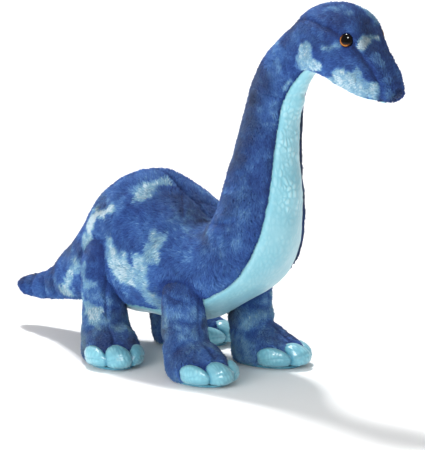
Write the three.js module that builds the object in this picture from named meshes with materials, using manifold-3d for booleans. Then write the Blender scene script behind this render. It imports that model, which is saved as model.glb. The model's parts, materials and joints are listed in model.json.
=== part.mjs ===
// A stuffed long-necked dinosaur that stands on four legs: sewn plush panels over fibre stuffing,
// with bead pouches in the feet and belly, and safety eyes held by washers behind the fabric.
// Millimetres, +X towards the nose, +Y towards the animal's left, +Z up.
import * as THREE from 'three';
import { LoftGeometry } from 'three/addons/geometries/LoftGeometry.js';
import { mergeVertices } from 'three/addons/utils/BufferGeometryUtils.js';
import Module from 'manifold-3d';

const wasm = await Module();
wasm.setup();

// ---------------------------------------------------------------- overall sizes
const bodyLength = 524; // tip of the tail to the end of the nose
const bodyHeight = 396; // floor to the crown of the head
const bodyWidth = 134; // across the ribs
const footLength = 90;
const footWidth = 60;
const hipHeight = 88; // floor to the line that a leg swings about
const legSpread = 94; // between the middles of a left and a right leg

// ---------------------------------------------------------------- fabric, seams and filling
const skinThickness = 3.5; // backing cloth and pile
const seamGap = 0.4; // between two pieces that are sewn or pressed together
const soleThickness = 3;
const beadDepth = 12; // beads in a foot
const flexGap = 0.7; // between two pieces that move past each other
const swing = { forward: 16, back: 16 }; // room for a leg, degrees
const pouch = { back: -44, front: -8, halfWidth: 17, depth: 22 }; // beads over the belly panel

// ---------------------------------------------------------------- eyes
const eyeDiameter = 14;
const eyeDome = 5; // how far the dome stands out
const eyeSink = 1.4; // how far the eye's rim lies in the pile
const eyeRim = 0.8; // thickness of the rim under the dome
const shank = { diameter: 4, length: 15 };
const washer = { diameter: 17, thickness: 1.6, drop: 2.4 }; // flat, where the fabric curves away
const shankClearance = 0.3;
const eyeStation = 23;
const eyeAngle = 62; // from the middle of the crown, degrees

// ---------------------------------------------------------------- outline of the body
// One row per station from the tail to the nose: the back line (x, z), the belly line (x, z), and
// half the width. A section is an oval whose ends are those two points.
const outline = [
  [-249, 46, -247, 37, 5], // tail tip
  [-238, 52, -234, 32, 11],
  [-214, 59, -206, 33, 16],
  [-186, 77, -172, 37, 24],
  [-151, 110, -140, 43, 38], // tail root
  [-117, 149, -112, 46, 53],
  [-86, 181, -82, 45, 63], // rump
  [-50, 190, -48, 45, 67],
  [-16, 180, -8, 46, 67], // ribs
  [10, 166, 28, 55, 65],
  [28, 157, 65, 73, 61], // withers
  [42, 159, 100, 98, 56],
  [51, 175, 121, 134, 50],
  [57, 199, 129, 172, 43], // root of the neck
  [64, 224, 131, 206, 36],
  [72, 250, 131, 242, 31],
  [81, 285, 135, 281, 27],
  [94, 319, 145, 303, 25],
  [114, 344, 155, 315, 25],
  [139, 366, 162, 320, 27], // nape
  [161, 384, 172, 321, 29],
  [184, 394, 187, 318, 31],
  [207, 396, 203, 313, 31], // brow
  [229, 385, 219, 309, 28],
  [242, 365, 233, 306, 24],
  [256, 347, 245, 304, 21.5],
  [269, 332, 257, 303, 18],
  [275, 318, 267, 306, 11], // nose
];
const roundness = 2.15; // 2 is an ellipse, and more is squarer
const stations = { tail: 3.4, neck: 13, head: 19, bellyStart: 4.8, pouch: 7.5, lip: 26.2 };
const crown = { start: 17, end: 26.6 }; // stations of the panel over the head

// Half the width of the pale panel under the body, as an angle about the middle of each section.
const bellySeam = [[4.8, 12], [6, 30], [8, 38], [10, 44], [11, 44], [14, 37], [17, 31], [19, 24], [27, 24]];
// Half the width of the panel over the top of the head.
const crownSeam = [[17, 20], [19, 22], [20.5, 48], [21.5, 60], [23, 62], [24, 50], [25, 50], [27, 60]];

// ---------------------------------------------------------------- outline of a leg
// Height, how far the section lies in front of the leg's line, half its length, half its width.
const legOutline = [
  [0, 23, 38, 24],
  [5, 25, 43.5, 28.5],
  [13, 25, 45, 30],
  [21, 20, 40, 29.5],
  [30, 10, 31.5, 27],
  [40, 2, 24, 24],
  [56, -1, 22, 22],
  [74, -2, 22, 22.5],
  [92, -2, 24, 24],
  [118, -2, 25, 25],
];
const legs = [
  { name: 'front_right', x: 31, side: -1, toeOut: 6 },
  { name: 'front_left', x: 31, side: 1, toeOut: 12 },
  { name: 'hind_right', x: -80, side: -1, toeOut: 28 },
  { name: 'hind_left', x: -80, side: 1, toeOut: 36 },
];
const outlineHip = 88; // the hip line's height in the rows above
const toeCut = { back: 32, height: 24, lean: 38 }; // the toe panel's seam, on the sole, degrees

// ---------------------------------------------------------------- how finely surfaces are drawn
const bodyRings = 27;
const bodySides = 16;
const legSides = 12;
const hingeSides = 24;
const eyeSides = 16;
const endWall = 0.32; // stations of solid skin at the tail's tip and the nose
const endGap = 0.08; // stations from there to the filling
const leastStep = 0.05; // stations between two rings
const reach = 400; // longer than any piece, for the blocks that cut them

const fabric = { roughness: 0.95, metalness: 0 };
const finishes = {
  blue_plush: { color: 0x3a5c9c, ...fabric },
  aqua_fabric: { color: 0x93d2e1, roughness: 0.45, metalness: 0 },
  fibre: { color: 0xf1efe9, ...fabric },
  bead_pouch: { color: 0xd9d5c8, ...fabric },
  eye: { color: 0x3a1f0c, roughness: 0.05, metalness: 0 },
  washer: { color: 0xf4f4f0, roughness: 0.4, metalness: 0 },
};

// ---------------------------------------------------------------- solids
const degrees = THREE.MathUtils.degToRad;

// A closed geometry as a solid that can be joined and cut.
function solid(geometry) {
  const bare = new THREE.BufferGeometry().copy(geometry);
  bare.deleteAttribute('normal');
  bare.deleteAttribute('uv');
  const welded = mergeVertices(bare, 1e-4);
  const corners = welded.index.array;
  const triVerts = [];
  for (let i = 0; i < corners.length; i += 3) {
    const [a, b, c] = corners.slice(i, i + 3);
    if (a !== b && b !== c && c !== a) triVerts.push(a, b, c);
  }
  const vertProperties = new Float32Array(welded.attributes.position.array);
  return new wasm.Manifold(
    new wasm.Mesh({ numProp: 3, vertProperties, triVerts: new Uint32Array(triVerts) }),
  );
}

// A solid as a geometry again.
function geometryOf(part) {
  const mesh = part.getMesh();
  const geometry = new THREE.BufferGeometry();
  geometry.setAttribute('position', new THREE.BufferAttribute(mesh.vertProperties, 3));
  geometry.setIndex(new THREE.BufferAttribute(mesh.triVerts, 1));
  geometry.computeVertexNormals();
  return geometry;
}

const block = (low, high) => {
  const size = high.clone().sub(low);
  const box = new THREE.BoxGeometry(size.x, size.y, size.z);
  const middle = low.clone().add(high).multiplyScalar(0.5);
  return solid(box.translate(middle.x, middle.y, middle.z));
};

// ---------------------------------------------------------------- the body's surface
const last = outline.length - 1;
const column = (i) => outline.map((row) => row[i]);
const stretch = new THREE.Vector3(
  bodyLength / (Math.max(...column(0)) - Math.min(...column(0))),
  bodyWidth / (2 * Math.max(...column(4))),
  bodyHeight / Math.max(...column(1)),
);
const lineOf = (x, y, sx, sy) =>
  new THREE.SplineCurve(outline.map((row) => new THREE.Vector2(row[x] * sx, row[y] * sy)));
const backLine = lineOf(0, 1, stretch.x, stretch.z);
const bellyLine = lineOf(2, 3, stretch.x, stretch.z);
const widthLine = new THREE.SplineCurve(column(4).map((w, i) => new THREE.Vector2(i, w * stretch.y)));

// The oval at a station: its middle, the half axis towards the back, and half its width.
function sectionAt(station) {
  const along = station / last;
  const back = backLine.getPoint(along);
  const belly = bellyLine.getPoint(along);
  const middle = back.clone().add(belly).multiplyScalar(0.5);
  return { middle, up: back.sub(belly).multiplyScalar(0.5), half: widthLine.getPoint(along).y };
}

const rounded = (value) => Math.sign(value) * Math.abs(value) ** (2 / roundness);

// A point at an angle from the back line (positive to the left), a depth below the surface; scale
// moves it out from the section's middle.
function bodyPoint(station, angle, depth = 0, scale = 1) {
  const { middle, up, half } = sectionAt(station);
  const height = Math.max(up.length() - depth, 1) * scale;
  const across = Math.max(half - depth, 1) * scale;
  const rise = up.clone().normalize().multiplyScalar(height * rounded(Math.cos(angle)));
  return new THREE.Vector3(middle.x + rise.x, across * rounded(Math.sin(angle)), middle.y + rise.y);
}

const turns = (count) => Array.from({ length: count }, (_, i) => (-2 * Math.PI * i) / count);
const steps = (from, to, count) =>
  Array.from({ length: count + 1 }, (_, i) => from + ((to - from) * i) / count);
const loft = (sections) => solid(new LoftGeometry(sections, { capStart: true, capEnd: true }));

// The whole body as one solid, a depth below the surface. The ends go in by the same depth.
function bodySolid(depth) {
  const end = depth > skinThickness ? endWall + endGap : depth > 0 ? endWall : 0;
  const [from, to] = [end, last - end];
  const along = steps(0, last, bodyRings).filter((s) => s > from + leastStep && s < to - leastStep);
  const rings = [from, ...along, to];
  return loft(rings.map((s) => turns(bodySides).map((angle) => bodyPoint(s, angle, depth))));
}

// Reads a seam's half angle at a station, in radians.
function seamAngle(seam, station) {
  const next = Math.max(1, seam.findIndex(([s]) => s >= station));
  const [[s0, a0], [s1, a1]] = [seam[next - 1], seam[next]];
  const share = THREE.MathUtils.clamp((station - s0) / (s1 - s0), 0, 1);
  return degrees(THREE.MathUtils.lerp(a0, a1, share));
}

// The wedge of the body on either side of an angle, wide enough to hold a seam's panel. A positive
// margin makes it wider all round.
function wedge(seam, centre, from, to, margin) {
  const arc = 5; // steps across the panel
  const [inside, outside] = [0.3, 1.35]; // shares of the section's radius
  const ringsPerStation = 1.2;
  const longer = margin * 0.02; // stations for a millimetre of margin
  const rings = steps(from - longer, to + longer, Math.round(ringsPerStation * (to - from)));
  return loft(
    rings.map((s) => {
      const half = seamAngle(seam, s) + margin / sectionAt(s).half;
      const outer = steps(-half, half, arc).map((a) => bodyPoint(s, centre - a, 0, outside));
      const inner = steps(half, -half, arc).map((a) => bodyPoint(s, centre - a, 0, inside));
      return [...outer, ...inner];
    }),
  );
}

// ---------------------------------------------------------------- hinges
// A hinge across the body at a station. Its child side starts at a round knuckle as deep as the
// section, so the parent's hollow end lets it turn.
function hingeAt(station, upright, towards) {
  const { middle, up, half } = sectionAt(station);
  const radius = (upright ? half : up.length()) + skinThickness / 2;
  const along = upright ? new THREE.Vector2(towards, 0) : new THREE.Vector2(up.y, -up.x).normalize();
  return { middle: new THREE.Vector3(middle.x, 0, middle.y), along, radius, upright };
}

// Everything on the child's side of a hinge, grown by a margin.
function childSide({ middle, along, radius, upright }, margin) {
  const rod = new THREE.CylinderGeometry(radius + margin, radius + margin, reach, hingeSides);
  if (upright) rod.rotateX(Math.PI / 2);
  const half = new THREE.BoxGeometry(reach, reach, reach);
  half.translate(reach / 2 - margin, 0, 0);
  half.rotateY(-Math.atan2(along.y, along.x));
  return solid(rod)
    .add(solid(half))
    .translate(middle.toArray());
}

const hinges = {
  tail: hingeAt(stations.tail, true, -1),
  neck: hingeAt(stations.neck, false),
  head: hingeAt(stations.head, false),
};

// ---------------------------------------------------------------- legs
const legTop = legOutline.at(-1);
const widest = legOutline.reduce((best, row) => (row[2] > best[2] ? row : best));
const legScale = {
  length: footLength / (2 * widest[2]),
  width: footWidth / (2 * widest[3]),
  height: hipHeight / outlineHip,
};
const hipRadius = (legTop[2] - legTop[1]) * Math.max(legScale.length, legScale.width) + 0.5;

const legRows = legOutline.map(([z, ahead, length, width]) => [
  z * legScale.height,
  ahead * legScale.length,
  length * legScale.length,
  width * legScale.width,
]);

// The leg's outline at a height, straight between its rows.
function legRowAt(z) {
  const next = Math.max(1, legRows.findIndex((row) => row[0] >= z));
  const [low, high] = [legRows[next - 1], legRows[next]];
  const share = (z - low[0]) / (high[0] - low[0]);
  return low.map((value, i) => THREE.MathUtils.lerp(value, high[i], share));
}

// A leg's solid at the origin, pointing along +X, a depth below its surface.
function legSolid(depth, from, to) {
  const between = legRows.map((row) => row[0]).filter((z) => z > from && z < to);
  const ring = (z) => {
    const [, ahead, length, width] = legRowAt(z);
    const around = (a) => [ahead + (length - depth) * Math.cos(a), (width - depth) * Math.sin(a)];
    return turns(legSides).map((a) => new THREE.Vector3(...around(-a), z));
  };
  return loft([from, ...between, to].map(ring));
}

const below = (z) => block(new THREE.Vector3(-reach, -reach, -reach), new THREE.Vector3(reach, reach, z));
const above = (z) => block(new THREE.Vector3(-reach, -reach, z), new THREE.Vector3(reach, reach, reach));

// The space under the hip line together with a round top.
const hipSpace = (radius) => {
  const rod = new THREE.CylinderGeometry(radius, radius, reach, hingeSides);
  return below(hipHeight).add(solid(rod).translate([0, 0, hipHeight]));
};

// The room in the body that a leg turns in: the round of its hip and the sweep below it.
function hipRoom() {
  const radius = hipRadius + flexGap;
  const shape = new THREE.Shape();
  const [front, rear] = [degrees(-swing.forward), degrees(180 + swing.back)];
  const foot = (angle, lean) => {
    const across = radius * Math.cos(angle) + hipHeight * Math.sin(degrees(lean));
    shape.lineTo(across, radius * Math.sin(angle) - hipHeight);
  };
  shape.absarc(0, 0, radius, front, rear, false);
  foot(rear, -swing.back);
  foot(front, swing.forward);
  shape.closePath();
  const drawn = { depth: reach, bevelEnabled: false, curveSegments: hingeSides / 2 };
  const room = new THREE.ExtrudeGeometry(shape, drawn);
  return solid(room.rotateX(Math.PI / 2));
}

// ---------------------------------------------------------------- pieces
const pieces = [];
const add = (name, part, finish) => pieces.push({ name, part, finish });

const skin = bodySolid(0).subtract(bodySolid(skinThickness));
const filling = bodySolid(skinThickness + seamGap);
const lowest = new THREE.Vector3(-reach, -reach, -reach);
const highest = new THREE.Vector3(reach, reach, reach);
const leftHalf = block(new THREE.Vector3(-reach, seamGap / 2, -reach), highest);
const rightHalf = block(lowest, new THREE.Vector3(reach, -seamGap / 2, reach));

const bellyWedge = (margin) => wedge(bellySeam, Math.PI, stations.bellyStart, stations.lip, margin);
const crownWedge = (margin) => wedge(crownSeam, 0, crown.start, crown.end, margin);
const noseEnd = hingeAt(stations.lip, false);
const nose = (margin) => childSide({ ...noseEnd, radius: 1 }, margin);

const underside = skin.intersect(bellyWedge(-seamGap / 2));
const upper = skin.subtract(bellyWedge(seamGap / 2));

const parts = {
  tail: (m) => m.intersect(childSide(hinges.tail, 0)),
  neck: (m) => m.intersect(childSide(hinges.neck, 0)).subtract(childSide(hinges.head, flexGap)),
  head: (m) => m.intersect(childSide(hinges.head, 0)),
};

// Room for the four legs in the trunk, open at the outside.
function legRooms() {
  const inner = legSpread / 2 - hipRadius - flexGap;
  const rooms = legs.map(({ x, side }) =>
    hipRoom().translate([x * stretch.x, side > 0 ? inner + reach : -inner, hipHeight]),
  );
  return rooms.reduce((all, room) => all.add(room));
}
const rooms = legRooms();
parts.torso = (m) =>
  m.subtract(childSide(hinges.neck, flexGap)).subtract(childSide(hinges.tail, flexGap)).subtract(rooms);

function addSides(name, part, finish) {
  add(`${name}_left`, part.intersect(leftHalf), finish);
  add(`${name}_right`, part.intersect(rightHalf), finish);
}

function addTail() {
  addSides('tail_panel', parts.tail(skin), 'blue_plush');
  add('tail_stuffing', parts.tail(filling), 'fibre');
}

function addTorso() {
  const floorOfPouch = bellyLine.getPoint(stations.pouch / last).y + skinThickness;
  const topOfPouch = floorOfPouch + pouch.depth;
  const pouchBox = (margin) =>
    block(
      new THREE.Vector3(pouch.back * stretch.x - margin, -pouch.halfWidth - margin, 0),
      new THREE.Vector3(pouch.front * stretch.x + margin, pouch.halfWidth + margin, topOfPouch + margin),
    );
  addSides('body_panel', parts.torso(upper), 'blue_plush');
  add('belly_panel', parts.torso(underside), 'aqua_fabric');
  add('belly_bead_pouch', parts.torso(filling).intersect(pouchBox(0)), 'bead_pouch');
  add('torso_stuffing', parts.torso(filling).subtract(pouchBox(seamGap)), 'fibre');
}

function addNeck() {
  addSides('neck_panel', parts.neck(upper), 'blue_plush');
  add('throat_panel', parts.neck(underside), 'aqua_fabric');
  add('neck_stuffing', parts.neck(filling), 'fibre');
}

// Where an eye sits, and which way it faces.
function eyeFrame(side) {
  const angle = degrees(eyeAngle) * side;
  const at = bodyPoint(eyeStation, angle);
  const ahead = bodyPoint(eyeStation + 0.1, angle).sub(at);
  const around = bodyPoint(eyeStation, angle + 0.05 * side).sub(at);
  const normal = ahead.cross(around).normalize();
  if (normal.y * side < 0) normal.negate();
  const turn = new THREE.Quaternion().setFromUnitVectors(new THREE.Vector3(0, 1, 0), normal);
  return new THREE.Matrix4().compose(at, turn, new THREE.Vector3(1, 1, 1));
}

const eyeParts = {
  // The dome, its flat back, and the shank that the washer grips.
  dome: () => {
    const radius = eyeDiameter / 2;
    const arc = steps(90, 0, 5).map(degrees);
    const profile = arc.map((a) => new THREE.Vector2(radius * Math.cos(a), eyeDome * Math.sin(a) - eyeSink));
    profile[0].x = 0;
    const rim = -eyeSink - eyeRim;
    profile.push(new THREE.Vector2(radius, rim), new THREE.Vector2(shank.diameter / 2, rim));
    profile.push(new THREE.Vector2(shank.diameter / 2, -shank.length), new THREE.Vector2(0, -shank.length));
    return new THREE.LatheGeometry(profile.reverse(), eyeSides);
  },
  washer: () => {
    const top = -skinThickness - 2 * seamGap - washer.drop;
    const [inner, outer] = [shank.diameter / 2 + shankClearance, washer.diameter / 2];
    const bottom = top - washer.thickness;
    const corners = [[inner, bottom], [outer, bottom], [outer, top], [inner, top]];
    const ring = [...corners, corners[0]].map(([r, y]) => new THREE.Vector2(r, y));
    return new THREE.LatheGeometry(ring, eyeSides);
  },
};

// The room that an eye takes: its seat in the pile, the hole for its shank and the washer's pocket.
function eyeRoom() {
  const disc = (radius, low, high) =>
    solid(new THREE.CylinderGeometry(radius, radius, high - low, eyeSides).translate(0, (high + low) / 2, 0));
  const seat = disc(eyeDiameter / 2 + shankClearance, -eyeSink - eyeRim - seamGap, 20);
  const hole = disc(shank.diameter / 2 + shankClearance, -shank.length - seamGap, 0);
  const top = -skinThickness - seamGap - washer.drop;
  const bottom = top - washer.thickness - 2 * seamGap;
  const pocket = disc(washer.diameter / 2 + seamGap, bottom, top + 2 * skinThickness);
  return { inSkin: seat.add(hole), inFilling: seat.add(hole).add(pocket) };
}

function addHead() {
  const headSkin = parts.head(upper);
  const cover = crownWedge(-seamGap / 2).add(nose(-seamGap / 2));
  const crownRoom = crownWedge(seamGap / 2).add(nose(seamGap / 2));
  const room = eyeRoom();
  let face = headSkin.subtract(crownRoom);
  let top = headSkin.intersect(cover);
  let stuffing = parts.head(filling);
  for (const [word, side] of [['left', 1], ['right', -1]]) {
    const frame = eyeFrame(side).toArray();
    face = face.subtract(room.inSkin.transform(frame));
    top = top.subtract(room.inSkin.transform(frame));
    stuffing = stuffing.subtract(room.inFilling.transform(frame));
    add(`eye_${word}`, solid(eyeParts.dome()).transform(frame), 'eye');
    add(`eye_washer_${word}`, solid(eyeParts.washer()).transform(frame), 'washer');
  }
  addSides('face_panel', face, 'blue_plush');
  add('crown_panel', top, 'blue_plush');
  add('chin_panel', parts.head(underside).subtract(nose(seamGap / 2)), 'aqua_fabric');
  add('head_stuffing', stuffing, 'fibre');
}

function addLeg({ name, x, side, toeOut }) {
  const turned = (part) => part.rotate([0, 0, toeOut * side]);
  const place = (part) => part.translate([x * stretch.x, (side * legSpread) / 2, 0]);
  const top = legTop[0] * legScale.height;
  const layer = (depth, from) =>
    turned(legSolid(depth, from, top - depth)).intersect(hipSpace(hipRadius - depth));
  const start = soleThickness + seamGap;
  const shell = layer(0, start).subtract(layer(skinThickness, 0));
  const inside = layer(skinThickness + seamGap, start);
  const toeBlock = (margin) =>
    turned(
      block(new THREE.Vector3(-margin, -reach, -reach), new THREE.Vector3(reach, reach, reach))
        .rotate([0, -toeCut.lean, 0])
        .translate([toeCut.back * legScale.length, 0, 0])
        .intersect(below(toeCut.height + margin)),
    );
  const upperShell = shell.subtract(toeBlock(seamGap / 2));
  const [outer, inner] = (side > 0 ? [leftHalf, rightHalf] : [rightHalf, leftHalf]).map(turned);
  add(`${name}_leg_outer_panel`, place(upperShell.intersect(outer)), 'blue_plush');
  add(`${name}_leg_inner_panel`, place(upperShell.intersect(inner)), 'blue_plush');
  add(`${name}_toe_panel`, place(shell.intersect(toeBlock(-seamGap / 2))), 'aqua_fabric');
  add(`${name}_sole`, place(turned(legSolid(0, 0, soleThickness))), 'aqua_fabric');
  add(`${name}_leg_stuffing`, place(inside.intersect(above(start + beadDepth + seamGap))), 'fibre');
  add(`${name}_bead_pouch`, place(inside.intersect(below(start + beadDepth))), 'bead_pouch');
}

addTail();
addTorso();
addNeck();
addHead();
legs.forEach(addLeg);

// ---------------------------------------------------------------- the assembly
const dinosaur = new THREE.Group();
for (const { name, part, finish } of pieces) {
  const mesh = new THREE.Mesh(geometryOf(part), new THREE.MeshStandardMaterial(finishes[finish]));
  mesh.name = name;
  dinosaur.add(mesh);
}

// The origin is on the floor under the middle of the toy's box.
const box = new THREE.Box3().setFromObject(dinosaur);
const centre = box.getCenter(new THREE.Vector3());
dinosaur.position.set(-centre.x, -centre.y, -box.min.z);

export default dinosaur;
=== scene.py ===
# %% [markdown]
# # A stuffed long-necked dinosaur
# The toy is a sewn skin of blue plush over fibre stuffing, with a shiny aqua panel from the chin to
# the belly, aqua toes and soles, and two glossy safety eyes. This lesson builds its visible surface
# around the plain solids of the part, in the part's own frame. The trunk's plush and belly panel, the
# toes, the soles and the eyes follow their bodies; the other pieces stay where they are built.

# %% The frame
import json
import bpy
import numpy as np
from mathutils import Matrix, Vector


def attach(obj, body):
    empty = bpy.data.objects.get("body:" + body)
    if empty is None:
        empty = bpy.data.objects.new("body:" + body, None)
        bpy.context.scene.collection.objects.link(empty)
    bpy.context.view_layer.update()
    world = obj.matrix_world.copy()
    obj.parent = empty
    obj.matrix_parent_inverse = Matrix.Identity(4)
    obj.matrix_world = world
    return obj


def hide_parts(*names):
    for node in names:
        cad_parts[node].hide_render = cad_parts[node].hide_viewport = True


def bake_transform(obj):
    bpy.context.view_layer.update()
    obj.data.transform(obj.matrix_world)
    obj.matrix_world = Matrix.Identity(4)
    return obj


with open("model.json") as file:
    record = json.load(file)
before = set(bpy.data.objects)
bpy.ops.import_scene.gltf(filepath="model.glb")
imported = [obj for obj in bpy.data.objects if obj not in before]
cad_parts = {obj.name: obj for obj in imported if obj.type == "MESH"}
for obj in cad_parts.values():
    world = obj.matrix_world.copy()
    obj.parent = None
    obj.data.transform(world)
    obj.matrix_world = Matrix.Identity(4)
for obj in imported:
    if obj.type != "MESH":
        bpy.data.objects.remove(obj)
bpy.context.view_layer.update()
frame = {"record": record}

# %% [markdown]
# ## Where things are
# The body's outline is a short list of sections from the tail to the nose. Each has a point on the
# back, a point on the belly and half a width, in millimetres. The record gives the neck's hinge,
# which lies in the middle of section 13, so the step from the outline to the frame comes from that.

# %% The outline, and the step to the frame
outline = np.array([
    [-249, 46, -247, 37, 5], [-238, 52, -234, 32, 11], [-214, 59, -206, 33, 16], [-186, 77, -172, 37, 24],
    [-151, 110, -140, 43, 38], [-117, 149, -112, 46, 53], [-86, 181, -82, 45, 63], [-50, 190, -48, 45, 67],
    [-16, 180, -8, 46, 67], [10, 166, 28, 55, 65], [28, 157, 65, 73, 61], [42, 159, 100, 98, 56],
    [51, 175, 121, 134, 50], [57, 199, 129, 172, 43], [64, 224, 131, 206, 36], [72, 250, 131, 242, 31],
    [81, 285, 135, 281, 27], [94, 319, 145, 303, 25], [114, 344, 155, 315, 25], [139, 366, 162, 320, 27],
    [161, 384, 172, 321, 29], [184, 394, 187, 318, 31], [207, 396, 203, 313, 31], [229, 385, 219, 309, 28],
    [242, 365, 233, 306, 24], [256, 347, 245, 304, 21.5], [269, 332, 257, 303, 18], [275, 318, 267, 306, 11],
], float)
last = len(outline) - 1
joints = {joint["name"]: joint for joint in frame["record"]["behaviour"]["joints"]}
hinge_13 = np.array([(outline[13, 0] + outline[13, 2]) / 2, 0, (outline[13, 1] + outline[13, 3]) / 2])
origin = np.array(joints["neck_bend"]["pos_m"]) - hinge_13 / 1000
print("the outline's origin in the frame", origin.round(5))


def to_frame(points):
    """Millimetres of the outline, over a thousand, plus the outline's origin: metres in the frame."""
    return np.asarray(points, float) / 1000 + origin


# %% [markdown]
# ## The body as one formula
# A smooth curve runs through each column of the list, so a section can be read anywhere along the
# body. A section is a slightly squared oval. Two numbers give any point of the skin: the station
# along the body and the angle from the back line, positive to the animal's left. Past the first and
# the last station the oval shrinks into a round end, which closes the tail and the nose. A cloth
# simulation or sculpting could shape the skin too. A formula was chosen, because panels then meet
# exactly at every cut, and a seam, a patch or an eye can ask where its own spot on the skin lies.

# %% A point on the body
roundness = 2.15  # the oval's power: 2 is an ellipse, and more is squarer
end_cap = 3.0  # mm that the tail's tip and the nose stand out, in a round end


def smooth_rows(table, at):
    """Catmull-Rom: from row b to c, a cubic; its slope at each is half the step between its neighbours."""
    low = np.clip(np.floor(at).astype(int), 0, len(table) - 2)
    share = (np.clip(at, 0, len(table) - 1) - low)[..., None]
    a, b, c, d = (table[np.clip(low + step, 0, len(table) - 1)] for step in (-1, 0, 1, 2))
    start, finish = (c - a) / 2, (d - b) / 2
    cubic = (2 * b - 2 * c + start + finish) * share**3 + (3 * c - 3 * b - 2 * start - finish) * share**2
    return cubic + start * share + b


def rounded(value):
    """The sign of the value times its size to the power two over the roundness."""
    return np.sign(value) * np.abs(value) ** (2 / roundness)


def body(station, angle):
    """Middle + up x rounded(cos) + half width x rounded(sin), shrunk by a cosine past either end."""
    station, angle = np.broadcast_arrays(np.asarray(station, float), np.asarray(angle, float))
    row = smooth_rows(outline, station)
    past = np.clip(station, 0, last) - station
    shrink = np.maximum(np.cos(past * np.pi / 2), 0.02)
    middle = np.stack([row[..., 0] + row[..., 2], 0 * station, row[..., 1] + row[..., 3]], -1) / 2
    up = np.stack([row[..., 0] - row[..., 2], 0 * station, row[..., 1] - row[..., 3]], -1) / 2
    forward = np.stack([up[..., 2], 0 * station, -up[..., 0]], -1)
    forward /= np.linalg.norm(forward, axis=-1, keepdims=True)
    rise = up * (shrink * rounded(np.cos(angle)))[..., None]
    side = row[..., 4] * shrink * rounded(np.sin(angle))
    points = middle + rise - forward * (end_cap * np.sin(past * np.pi / 2))[..., None]
    points[..., 1] += side
    return points


def stations_every(first, final, spacing):
    """Stations whose middles lie an equal distance apart, read back from the summed length."""
    fine = np.linspace(first, final, 600)
    middle = (body(fine, 0 * fine) + body(fine, 0 * fine + np.pi)) / 2
    length = np.concatenate([[0], np.cumsum(np.linalg.norm(np.diff(middle, axis=0), axis=1))])
    count = max(4, int(np.ceil(length[-1] / spacing)))
    return np.interp(np.linspace(0, length[-1], count + 1), length, fine)


print("nose", body(27.0, 0.0).round(1), "tail", body(0.0, 0.0).round(1))

# %% [markdown]
# ## Soft random values
# Plush is never even: the pile lies in patches, and dye takes differently. A lattice of seeded random
# numbers, blended smoothly between its points, gives a cloudy value anywhere in space. Because the
# seed is fixed, the toy comes out the same each time. A noise texture could vary the colour, but
# this one value can also raise the skin and turn the pile.

# %% Cloudy values


def cloudy(points, size, seed):
    """Random numbers on a lattice, size mm apart, blended along each axis with 3f^2 - 2f^3: 0 to 1."""
    lattice = np.random.default_rng(seed).random((24, 24, 24))
    at = np.asarray(points, float) / size + 500
    corner = np.floor(at).astype(int)
    share = at - corner
    share = share * share * (3 - 2 * share)
    total = 0
    for i, j, k in np.ndindex(2, 2, 2):
        weight = np.prod(np.where([i, j, k], share, 1 - share), axis=-1)
        x, y, z = np.moveaxis((corner + [i, j, k]) % 24, -1, 0)
        total = total + weight * lattice[x, y, z]
    return total


def step_up(value, low, high):
    """0 below low, 1 above high, and 3f^2 - 2f^3 between."""
    share = np.clip((value - low) / (high - low), 0, 1)
    return share * share * (3 - 2 * share)


print("a cloudy value", cloudy(np.zeros(3), 10, 1).round(3))

# %% [markdown]
# ## Seams and creases
# A seam pulls the skin into a shallow valley, which is what makes a stuffed toy look stuffed. Each
# seam is a line of points on the skin. The valley's depth at a point is a bell curve of its distance
# from that line. The same distance later makes the pile short along the seam, and darker there as
# painted shade in the valley. The mesh could be cut and pinched along each seam instead, but then
# each seam would need a grid of its own.

# %% Seam lines on the body
degrees = np.pi / 180
belly_seam = np.array([[0, 0], [4.5, 0], [4.9, 12], [6, 30], [8, 38], [10, 44], [11, 44], [14, 37], [17, 31],
                       [19, 24], [26, 24], [26.4, 0], [28, 0]], float)
crown_seam = np.array([[17, 3], [19, 22], [20.5, 48], [21.5, 60], [23, 62], [24, 50], [25, 50], [26, 64],
                       [26.4, 110]], float)


def seam_angle(seam, station):
    """The seam's half angle at a station, straight between its rows, in radians."""
    return np.interp(station, seam[:, 0], seam[:, 1]) * degrees


def on_body(stations, angles, count=24):
    """A line of points on the body through a few stations and angles, given in degrees."""
    along = np.linspace(0, len(stations) - 1, count)
    steps = np.arange(len(stations))
    return body(np.interp(along, steps, stations), np.interp(along, steps, angles) * degrees)


def distance_to(points, line):
    """The least distance from each point to the line's straight pieces."""
    flat = points.reshape(-1, 3)
    nearest = np.full(len(flat), 1e9)
    for start, finish in zip(line[:-1], line[1:]):
        piece = finish - start
        share = np.clip((flat - start) @ piece / max(piece @ piece, 1e-9), 0, 1)
        nearest = np.minimum(nearest, np.linalg.norm(flat - start - share[:, None] * piece, axis=1))
    return nearest.reshape(points.shape[:-1])


# Each seam: its line, how deep it pulls the skin and how wide the valley is, in mm.
body_seams = [
    (on_body([-0.5, 8, 17], [0, 0, 0], 90), 1.6, 3.5),
    (on_body([-0.5, 4.6], [180, 180], 30), 1.6, 3.5),
    (on_body([11.8, 12.5], [-55, -95]), 1.3, 3.5),
    (on_body([11.8, 12.5], [55, 95]), 1.3, 3.5),
    (on_body([26.35, 26.35], [115, 245], 20), 1.4, 3.0),
    (on_body([2.2, 2.5, 2.4], [-150, -80, 0]), 1.3, 3.0),
    (on_body([2.9, 3.0, 2.8], [-120, -60, 20]), 0.9, 3.0),
    (on_body([1.6, 1.8], [-140, -30]), 0.7, 3.0),
    (on_body([16.4, 16.7, 16.4], [145, 180, 215]), 1.6, 3.5),
    (on_body([8.8, 9.6], [5, 30]), 0.8, 3.0),
    (on_body([8.3, 9.2], [-5, -28]), 0.8, 3.0),
]
for side in (-1, 1):
    stations = np.linspace(17.2, 26.4, 80)
    body_seams.append((body(stations, side * seam_angle(crown_seam, stations)), 1.5, 3.0))
    stations = np.linspace(4.6, 26.2, 140)
    body_seams.append((body(stations, np.pi - side * seam_angle(belly_seam, stations)), 1.8, 3.5))
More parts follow.
